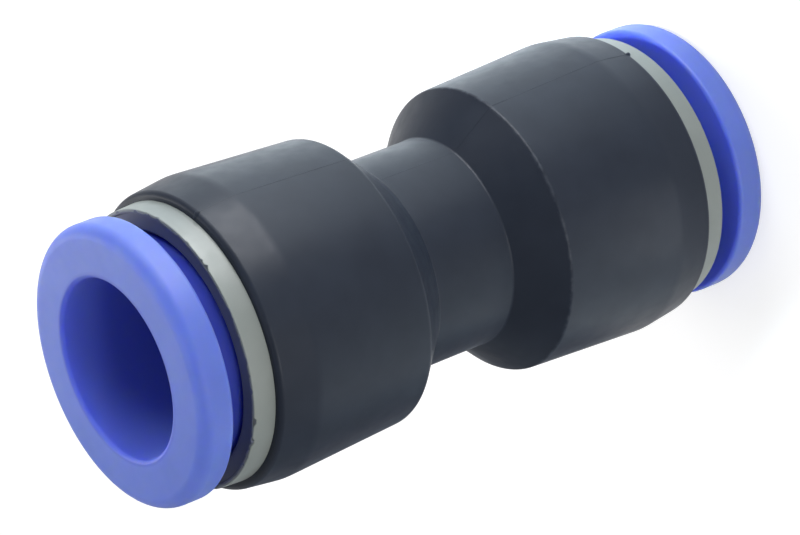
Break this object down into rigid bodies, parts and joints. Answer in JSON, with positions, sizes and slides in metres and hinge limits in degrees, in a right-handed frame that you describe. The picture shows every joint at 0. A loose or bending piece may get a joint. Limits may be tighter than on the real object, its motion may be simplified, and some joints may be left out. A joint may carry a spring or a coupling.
{
  "type": "reducing connector",
  "caption": "Round push-in reducing connector for plastic tube: waisted black body with a blue release sleeve, grey guide ring, black collar and sprung claws at each end.",
  "frame": {"origin": "centre of the lower release sleeve's flange face, which the connector stands on", "axes": "+Z along the common axis, from the smaller tube's end up to the larger tube's end"},
  "size_m": [0.0174, 0.0174, 0.0395],
  "materials": {
    "body_black": "satin, smooth moulded",
    "sleeve_blue": "soft sheen, moulded",
    "ring_grey": "satin, moulded",
    "collar_black": "satin, moulded",
    "claw_steel": "bright stamped spring steel",
    "backing_ivory": "moulded",
    "seal_rubber": "smooth"
  },
  "bodies": {
    "fitting": {"body": "body_black", "large_guide_ring": "ring_grey", "large_collar": "collar_black", "large_claw_ring": "claw_steel", "large_backing_ring": "backing_ivory", "large_seal_ring": "seal_rubber", "small_guide_ring": "ring_grey", "small_collar": "collar_black", "small_claw_ring": "claw_steel", "small_backing_ring": "backing_ivory", "small_seal_ring": "seal_rubber"},
    "large_sleeve": {"large_release_sleeve": "sleeve_blue"},
    "small_sleeve": {"small_release_sleeve": "sleeve_blue"}
  },
  "joints": [
    {"name": "large_sleeve_press", "type": "slide", "parent": "fitting", "child": "large_sleeve", "axis": [0, 0, -1], "range_m": [0, 0.00125], "stiffness_N_per_m": 2000, "springref_m": -0.0002, "deforming": ["large_claw_ring"]},
    {"name": "small_sleeve_press", "type": "slide", "parent": "fitting", "child": "small_sleeve", "axis": [0, 0, 1], "range_m": [0, 0.00125], "stiffness_N_per_m": 2000, "springref_m": -0.0002, "deforming": ["small_claw_ring"]}
  ]
}
